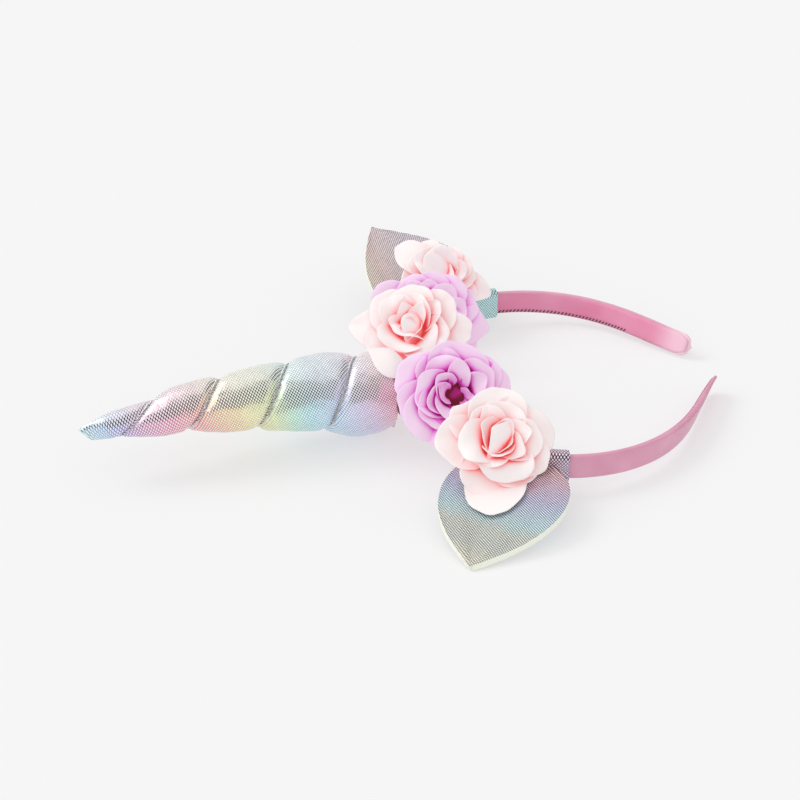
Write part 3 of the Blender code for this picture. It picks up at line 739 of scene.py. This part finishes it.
def buildEar(name, ear):
    root, along, side, normal = earAxes(ear)
    length = along.length

    def spread(across):
        return math.sin(math.radians(mix(-90, 90, across)))

    def leaf(across, share):
        share = 1 - (1 - share) ** 1.25
        edge = spread(across)
        middle = root + along * mix(0.02, 1.0, share) + side * (ear["bow"] * math.sin(math.pi * share))
        half = ear["half"] * fromRows(earRows, share)
        ripple = noise.noise(Vector((edge * 2.0, share * 3.0, ear["side"] * 5.0))) * 0.7
        folds = noise.noise(Vector((edge * 7.0, share * 1.2, 3.0))) * 0.9 * (1 - share) ** 2
        lift = ear["dish"] * (edge * edge - 0.5) * math.sin(math.pi * share)
        lift += (ripple + folds) * min(half / 10, 1)
        point = middle + side * (half * edge) + normal * lift
        point.z = max(point.z, 0.55 + earShape["thick"] * earShape["edge"] / 2)
        return at(*point)

    def lay(across, share):
        share = 1 - (1 - share) ** 1.25
        width = ear["half"] * fromRows(earRows, share)
        return (spread(across) * width / cloth["unit"], share * length / cloth["unit"])

    cut = addSheet(name + "_cloth", earShape["columns"], earShape["rows"], leaf, lay)
    swell = cut.vertex_groups.new(name="swell")
    for vertex in cut.data.vertices:
        column = vertex.index % (earShape["columns"] + 1) / earShape["columns"]
        row = vertex.index // (earShape["columns"] + 1) / earShape["rows"]
        rim = min(1 - abs(spread(column)) ** 5, 1.0) * ease(1.0, 0.8, row)
        swell.add([vertex.index], mix(earShape["edge"], 1.0, rim), "REPLACE")
    dress(cut, ear["foil"], cutEdge)
    applyModifier(cut, "SOLIDIFY", thickness=earShape["thick"] * mm, offset=0.0, vertex_group="swell",
                  material_offset_rim=1, use_even_offset=False)
    applyModifier(cut, "BEVEL", width=0.0003, segments=2, limit_method="ANGLE", angle_limit=math.radians(50))

    start, end = ear["wrap"]

    def sleeve(across, share):
        spot = ear["side"] * mix(start, end, share)
        middle, outward = bandAt(spot)
        pinch = noise.noise(Vector((across * 9.0, share * 2.0, ear["side"] * 3.0))) * 0.35
        lip = 0.3 * math.sin(math.pi * share) ** 0.5
        thick = bandThick(spot) / 2 + 0.35 + lip + max(pinch, -0.15)
        width = band["width"] / 2 + 0.35 + lip + max(pinch, -0.15)
        out, up = roundedBox(across, thick, width, band["corner"] + 0.4)
        return at(*(middle + outward * out + upBand * up))

    wrap = addSheet("wrap", 48, 20, sleeve, lambda a, b: (a * 0.25 + ear["wrapHue"], b * 0.13))
    closeSeams(wrap)
    applyModifier(wrap, "SOLIDIFY", thickness=earShape["wrapThick"] * mm, offset=1.0)
    dress(wrap, ear["foil"], cutEdge)
    whole = joinPieces([cut, wrap], name + "_cloth")
    whole.data.shade_smooth()
    bpy.ops.object.shade_smooth_by_angle(angle=math.radians(40))
    putOn(whole, "ear_foil", name)


for earName, earValues in ears.items():
    buildEar(earName, earValues)
print("the ears are sewn on")


# petals: turn 0 is to the right as the rose faces the eye, and leans are from its axis
# columns: turn, reach, height, half width, lean at the root, lean at the lip, cup, point

petals = {
    "rose_1": [
        (128, 23.5, 3.0, 9.0, 30, 92, 46, 0.1), (102, 17.5, 4.0, 8.5, 35, 95, 38, 0.0),
        (66, 13.8, 5.0, 10.5, 30, 92, 36, 0.0), (22, 13.8, 4.5, 10.5, 32, 92, 34, 0.0),
        (-10, 15.0, 3.0, 9.5, 40, 98, 26, 0.0), (-33, 21.5, 0.0, 8.5, 60, 108, 18, 0.1),
        (-66, 18.5, 0.5, 11.0, 60, 105, 18, 0.0), (172, 16.0, 2.5, 11.0, 50, 100, 20, 0.0),
        (240, 18.0, 1.0, 12.5, 60, 105, 18, 0.0),
        (142, 13.0, 9.0, 8.5, 12, 88, 58, 0.1), (84, 12.0, 8.0, 9.0, 14, 85, 50, 0.1),
        (40, 11.0, 8.5, 9.0, 12, 80, 52, 0.1), (-26, 11.5, 8.0, 9.0, 16, 84, 48, 0.1),
        (222, 11.0, 8.0, 9.0, 14, 82, 52, 0.1), (100, 7.0, 10.5, 7.5, 6, 50, 75, 0.1),
        (-40, 7.0, 10.0, 7.5, 8, 50, 75, 0.1), (205, 6.5, 10.5, 7.0, 5, 40, 80, 0.1),
        (-50, -6.5, 13.0, 11.5, 35, -78, 24, 0.3), (120, 3.0, 11.0, 5.0, -4, 15, 105, 0.2),
        (150, 9.5, 13.5, 9.5, 8, 84, 40, 0.3), (60, 9.0, 13.0, 9.5, 8, 80, 40, 0.2)],
    "rose_2": [
        (142, 25.0, 1.0, 11.0, 60, 105, 15, 0.0), (108, 19.5, 3.5, 10.5, 45, 110, 22, 0.0),
        (78, 20.0, 3.0, 11.0, 50, 100, 18, 0.0), (48, 21.5, 2.5, 11.0, 50, 105, 20, 0.0),
        (18, 22.0, 1.5, 10.5, 55, 108, 18, 0.0), (-13, 24.5, 0.5, 10.5, 60, 105, 16, 0.0),
        (-38, 23.0, 0.0, 11.0, 60, 108, 14, 0.0), (190, 20.0, 0.0, 12.0, 60, 105, 14, 0.0),
        (235, 18.0, 0.0, 12.0, 60, 105, 14, 0.0), (285, 19.0, 0.0, 12.0, 60, 105, 14, 0.0),
        (122, 16.5, 7.5, 7.0, 28, 95, 40, 0.0), (98, 17.0, 7.5, 7.5, 25, 80, 45, 0.0),
        (72, 16.5, 8.0, 7.0, 28, 95, 42, 0.0), (40, 17.0, 7.0, 8.5, 28, 90, 40, 0.0),
        (8, 17.0, 6.5, 8.5, 28, 88, 40, 0.0), (-25, 16.5, 6.0, 9.5, 28, 88, 40, 0.0),
        (160, 15.5, 6.0, 9.0, 28, 88, 40, 0.0), (84, 11.5, 9.5, 7.0, 15, 70, 60, 0.0),
        (30, 10.5, 9.5, 7.5, 15, 60, 65, 0.0), (150, 9.0, 9.5, 7.5, 10, 50, 70, 0.0),
        (-30, 9.0, 9.0, 7.0, 10, 50, 75, 0.0), (90, 4.0, 11.0, 5.5, -4, 20, 105, 0.0),
        (220, 4.0, 10.5, 5.5, -4, 15, 105, 0.0)],
    "rose_3": [
        (158, 25.4, 0.5, 10.5, 62, 104, 16, 0.5), (124, 20.5, 3.5, 11.0, 45, 104, 26, 0.1),
        (78, 18.0, 6.0, 12.0, 35, 98, 34, 0.0), (229, 22.5, 1.0, 13.0, 58, 104, 16, 0.1),
        (240, 25.5, 19.0, 13.0, 74, 50, 10, 0.1), (192, 20.5, 2.0, 11.0, 55, 104, 22, 0.1),
        (20, 20.0, 3.5, 12.0, 45, 95, 28, 0.0),
        (-18, 24.0, 1.5, 10.0, 55, 104, 18, 0.0), (266, 19.0, 0.5, 12.5, 60, 104, 18, 0.0),
        (310, 19.0, 1.0, 11.5, 58, 104, 18, 0.0),
        (112, 15.5, 8.0, 9.5, 20, 94, 46, 0.1), (60, 13.5, 9.5, 9.5, 18, 80, 52, 0.0),
        (24, 15.0, 8.5, 7.5, 22, 66, 66, 0.1), (-30, 16.0, 6.5, 10.0, 25, 96, 44, 0.1),
        (296, 13.5, 7.0, 11.0, 25, 120, 40, 0.1), (218, 11.5, 9.0, 12.0, 12, 124, 30, 0.2),
        (42, 9.5, 12.0, 5.6, 12, 52, 76, 0.5), (90, 8.5, 11.5, 6.5, 10, 45, 72, 0.8),
        (208, 5.0, 11.5, 10.0, 2, 66, 24, 0.3), (150, 7.5, 11.0, 6.5, 4, 45, 70, 0.5),
        (-30, -2.5, 12.0, 10.5, 40, -60, 38, 0.5), (-64, 4.5, 11.0, 7.0, 24, 2, 60, 0.3),
        (70, 3.5, 12.0, 5.0, -4, 12, 110, 0.6), (180, 2.6, 12.0, 4.6, -6, 8, 115, 0.4)],
    "rose_4": [
        (74, 20.5, 3.0, 14.0, 48, 100, 20, 0.0), (146, 24.0, 1.0, 12.5, 55, 104, 18, 0.0),
        (112, 19.5, 3.0, 11.0, 45, 100, 22, 0.0), (186, 22.0, 3.5, 11.5, 50, 100, 18, 0.0),
        (214, 22.0, 8.0, 13.5, 42, 84, 20, 0.0), (247, 21.0, 8.5, 12.5, 42, 82, 20, 0.0),
        (285, 20.0, 0.5, 13.0, 60, 108, 14, 0.0), (34, 20.0, 2.0, 11.0, 52, 100, 18, 0.0),
        (8, 21.5, 1.5, 12.0, 52, 102, 18, 0.0), (335, 20.0, 1.0, 12.0, 58, 105, 15, 0.0),
        (168, 15.5, 8.5, 12.0, 18, 98, 50, 0.0), (208, 15.8, 9.0, 11.0, 25, 88, 40, 0.0),
        (28, 17.0, 6.0, 10.5, 28, 84, 42, 0.0), (262, 14.5, 9.0, 10.5, 22, 80, 42, 0.0),
        (100, 15.5, 6.5, 10.5, 28, 88, 42, 0.0), (318, 15.0, 5.5, 9.5, 30, 88, 42, 0.0),
        (70, 13.2, 9.5, 6.4, 18, 66, 74, 0.0), (16, 13.0, 9.0, 7.2, 18, 66, 74, 0.0),
        (186, 10.8, 10.5, 8.5, 8, 52, 70, 0.1), (232, 9.8, 10.5, 9.0, 10, 56, 66, 0.1),
        (300, 9.5, 8.5, 7.5, 14, 60, 70, 0.1), (128, 9.4, 10.0, 7.5, 14, 40, 76, 0.0),
        (158, 6.6, 8.5, 6.0, 2, 16, 84, 0.2), (335, 7.0, 7.5, 5.6, 4, 20, 84, 0.2)],
    "rose_5": [
        (77, 21.8, 3.5, 13.5, 45, 98, 24, 0.0), (172, 22.0, 2.0, 13.0, 52, 102, 20, 0.0),
        (8, 22.0, 3.0, 13.0, 50, 98, 20, 0.0), (258, 32.0, 5.0, 14.0, 84, 56, 10, 0.0),
        (236, 22.0, 1.0, 11.0, 58, 104, 20, 0.0), (320, 20.5, 4.5, 11.0, 48, 96, 18, 0.0),
        (124, 20.0, 2.5, 12.0, 48, 100, 24, 0.0), (38, 20.5, 2.5, 12.0, 48, 100, 22, 0.0),
        (288, 20.0, 4.0, 11.0, 48, 98, 18, 0.0),
        (182, 15.5, 8.0, 11.0, 10, 128, 34, 0.2), (272, 17.0, 5.5, 13.0, 24, 128, 38, 0.0),
        (-14, 16.8, 7.0, 11.0, 22, 84, 54, 0.0), (64, 15.5, 7.0, 11.0, 22, 86, 46, 0.0),
        (112, 14.0, 7.5, 9.5, 20, 82, 50, 0.0), (225, 13.5, 7.5, 9.5, 18, 100, 46, 0.1),
        (10, 11.5, 9.5, 8.0, 14, 55, 70, 0.1), (148, 7.5, 11.5, 9.0, 4, 52, 40, 0.4),
        (-40, 10.0, 9.5, 8.0, 12, 55, 70, 0.2), (255, 8.5, 10.0, 8.5, 8, 60, 60, 0.3),
        (50, 7.0, 11.5, 6.2, 4, 30, 70, 0.8), (-50, -3.0, 12.5, 12.5, 40, -64, 26, 0.9),
        (-66, 5.0, 10.5, 7.5, 20, 10, 60, 0.4), (110, 3.0, 11.5, 4.8, -4, 10, 110, 0.5)]}

roses = {
    "rose_1": {"heart": (35.0, 72.0, 23.5), "face": (-0.15, -0.5, 0.8), "seat": 68.0, "cloth": "pale"},
    "rose_2": {"heart": (23.5, 47.0, 19.0), "face": (-0.15, -0.8, 0.5), "seat": 44.0, "cloth": "lilac"},
    "rose_3": {"heart": (12.5, 18.5, 30.0), "face": (-0.3, -0.6, 0.7), "seat": 15.0, "cloth": "pale"},
    "rose_4": {"heart": (18.0, -25.0, 24.5), "face": (-0.1, -0.8, 0.5), "seat": -28.0, "cloth": "lilac",
               "throat": 4.4},
    "rose_5": {"heart": (25.0, -59.0, 20.5), "face": (0.05, -0.65, 0.75), "seat": -62.0, "cloth": "pale"}}

petalShape = {"columns": 12, "rows": 14, "thick": 0.38, "root": 2.4, "rootWidth": 0.34, "lipRound": 0.74,
              "widest": 0.68, "pull": 0.40, "wave": 1.1, "skew": 2.2, "lipWave": 0.07, "ripple": 1.6,
              "fineRipple": 0.6, "frill": 0.9, "aboveHorn": 0.9, "aboveEar": 0.6, "aboveFloor": 0.9,
              "lap": 9.0}


def roseAxes(rose):
    face = Vector(rose["face"]).normalized()
    across = (Vector((1, 0, 0)) - face * face.x).normalized()
    return Vector(rose["heart"]), across, face.cross(across), face


def keepClear(point):  # petals lie on the floor, the horn and the ears instead of going through
    past = (point.x - horn["base"]) / petalShape["lap"]
    if past < 1.0:
        middle = Vector((point.x, 0, fromRows(hornRows, point.x, 1)))
        away = point - middle
        radius = fromRows(hornRows, point.x, 2) + petalShape["aboveHorn"]
        radius *= math.sqrt(1 - max(past, 0.0) ** 2)
        if 0.1 < away.length < radius:
            point = middle + away.normalized() * radius
    for ear in ears.values():
        root, along, side, normal = earAxes(ear)
        offset = point - root
        share = min(max(offset.dot(along) / along.length_squared, 0.0), 1.0)
        across = offset.dot(side) - ear["bow"] * math.sin(math.pi * share)
        beyond = abs(across) - ear["half"] * fromRows(earRows, share)
        near = ease(7.0, 0.5, beyond) * ease(0.02, 0.12, share) * ease(-14.0, -6.0, offset.dot(normal))
        above = earShape["thick"] / 2 + petalShape["aboveEar"]
        point = point + normal * (max(above - offset.dot(normal), 0.0) * near)
    point.z = max(point.z, petalShape["aboveFloor"])
    return point


def petalPlace(rose, row, seed):
    turn, reach, height, half, rootLean, lipLean, cup, tip = row
    heart, right, up, face = roseAxes(rose)
    angle = math.radians(turn)
    outward = right * math.cos(angle) + up * math.sin(angle)
    sideways = up * math.cos(angle) - right * math.sin(angle)
    throat = rose.get("throat", petalShape["root"])
    start = Vector((throat * (min(reach / 8, 1.0) if reach > 0 else 1.5), -1.0))
    end = Vector((reach, height))
    pull = (end - start).length * petalShape["pull"]
    leave = Vector((math.sin(math.radians(rootLean)), math.cos(math.radians(rootLean))))
    arrive = Vector((math.sin(math.radians(lipLean)), math.cos(math.radians(lipLean))))
    stops = [start, start + leave * pull, end - arrive * pull, end]

    def put(across, along):
        edge = mix(-1, 1, across)
        lip = 1 - petalShape["lipRound"] * (1 - math.sqrt(1 - (edge * 0.985) ** 2))
        lip *= 1 + tip * (0.22 * (1 - abs(edge)) ** 2 - 0.12)
        lip *= 1 + petalShape["lipWave"] * noise.noise(Vector((edge * 2.4, seed, 9.0)))
        t = along * lip
        s = 1 - t
        spine = (stops[0] * s**3 + stops[1] * 3 * s * s * t + stops[2] * 3 * s * t * t + stops[3] * t**3)
        run = ((stops[1] - stops[0]) * s * s + (stops[2] - stops[1]) * 2 * s * t
               + (stops[3] - stops[2]) * t * t).normalized()
        inward = -outward * run.y + face * run.x
        spread = math.sin(math.pi / 2 * min(t / petalShape["widest"], 1))
        width = half * mix(petalShape["rootWidth"], 1.0, spread)
        bend = math.radians(cup) * (1.15 - 0.4 * t)
        ripple = noise.noise(Vector((edge * 1.7 + seed, t * 2.2, seed * 0.7))) * petalShape["ripple"] * t
        ripple += noise.noise(Vector((edge * 4.5, t * 3.0, seed * 1.9))) * petalShape["fineRipple"] * t * t
        ripple -= abs(edge) ** 3 * t * t * petalShape["frill"]
        point = heart + outward * spine.x + face * spine.y
        point += sideways * (math.sin(bend * edge) / bend * width)
        point += inward * ((1 - math.cos(bend * edge)) / bend * width + ripple * petalShape["wave"])
        point += outward * (petalShape["skew"] * math.sin(seed * 5) * edge * t)
        return at(*keepClear(point))

    return put


openSky = {"rays": 24, "reach": 13.0, "start": 0.3, "soften": 2}  # how much light gets in between the petals, painted into their colour as shade


def openShares(pieces):  # for every point, the share of directions that no petal closes; the petal finish paints it in as shade
    corners, faces = [], []
    for piece in pieces:
        first = len(corners)
        corners += [vertex.co.copy() for vertex in piece.data.vertices]
        faces += [[first + i for i in face.vertices] for face in piece.data.polygons]
    tree = BVHTree.FromPolygons(corners, faces)
    spots = []
    for i in range(openSky["rays"]):
        rise = math.sqrt(1 - (i + 0.5) / openSky["rays"])
        turn = i * math.pi * (3 - math.sqrt(5))
        flat = math.sqrt(1 - rise * rise)
        spots.append(Vector((flat * math.cos(turn), flat * math.sin(turn), rise)))
    for piece in pieces:
        shares = []
        for vertex in piece.data.vertices:
            turn = Vector((0, 0, 1)).rotation_difference(vertex.normal)
            start = vertex.co + vertex.normal * openSky["start"] * mm
            hits = [tree.ray_cast(start, turn @ spot, openSky["reach"] * mm)[3] for spot in spots]
            free = [1.0 if hit is None else (hit / openSky["reach"] / mm) ** 1.5 for hit in hits]
            shares.append(sum(free) / len(free))
        for _ in range(openSky["soften"]):  # evens out points that lie inside another petal
            sums = [[share, 1.0] for share in shares]
            for edge in piece.data.edges:
                one, two = edge.vertices
                for here, there in ((one, two), (two, one)):
                    sums[here][0] += shares[there]
                    sums[here][1] += 1.0
            shares = [total / count for total, count in sums]
        keepValues(piece, "open", shares)


# the stem's rows: share of its height, radius; an open throat ends in a small bowl
stemShape = {"rows": [(0.0, 0.0), (0.02, 3.6), (0.3, 4.2), (0.6, 4.6), (0.85, 4.0), (0.95, 3.0), (1.0, 0.0)],
             "around": 20, "rings": 24, "under": 0.2, "level": 0.3, "top": -0.6, "openTop": 1.4, "rim": 0.85,
             "bowl": 1.6, "openWidth": 1.9, "widening": (0.35, 0.75), "paintedShadePlace": 2.0, "paintedShade": -1.7,
             "paintedShadeSpan": (9.0, 6.0)}


def buildRose(name, rose):
    made = []
    for number, row in enumerate(petals[name]):
        seed = number * 3.7 + rose["seat"] * 0.31
        petal = addSheet("petal", petalShape["columns"], petalShape["rows"], petalPlace(rose, row, seed))
        shares = [v.index // (petalShape["columns"] + 1) / petalShape["rows"] for v in petal.data.vertices]
        keepValues(petal, "along", shares)
        applyModifier(petal, "SOLIDIFY", thickness=petalShape["thick"] * mm, offset=0.0)
        made.append(petal)

    heart, right, up, face = roseAxes(rose)
    seat, outward = bandAt(rose["seat"])
    foot = seat + outward * (band["thick"] / 2 + stemShape["under"])
    opened = "throat" in rose
    top = heart + face * stemShape["openTop" if opened else "top"]
    rim = stemShape["rim"]

    def core(across, along):
        angle = math.tau * across
        wider = ease(*stemShape["widening"], along) if opened else 0.0
        size = fromRows(stemShape["rows"], along) * mix(1.0, stemShape["openWidth"], wider)
        rise = rim - (along - rim) * stemShape["bowl"] if opened and along > rim else along
        middle = mix(foot, top, rise)
        level = (heart - foot).normalized() if along < stemShape["level"] else face
        one = level.orthogonal().normalized()
        return at(*keepClear(middle + (one * math.cos(angle) + level.cross(one) * math.sin(angle)) * size))

    base = addSheet("stem", stemShape["around"], stemShape["rings"], core)
    closeSeams(base)
    deepest = at(*(heart - face * stemShape["paintedShadePlace"]))  # painted shade: the stem is darkest in the throat
    depths = [(vertex.co - deepest).length / mm for vertex in base.data.vertices]
    # painted shade: negative values in the stem's 'along' attribute push its colour to the deepest red in the
    # throat
    keepValues(base, "along", [stemShape["paintedShade"] * ease(*stemShape["paintedShadeSpan"], depth) for depth in depths])
    openShares(made + [base])
    for petal in made:
        applyModifier(petal, "SUBSURF", levels=1, render_levels=1)
    bloom = joinPieces(made + [base], name + "_petals")
    dress(bloom, petalPale if rose["cloth"] == "pale" else petalLilac)
    putOn(bloom, "petal_" + rose["cloth"], name)


for roseName, roseValues in roses.items():
    buildRose(roseName, roseValues)
print("the roses are glued on")
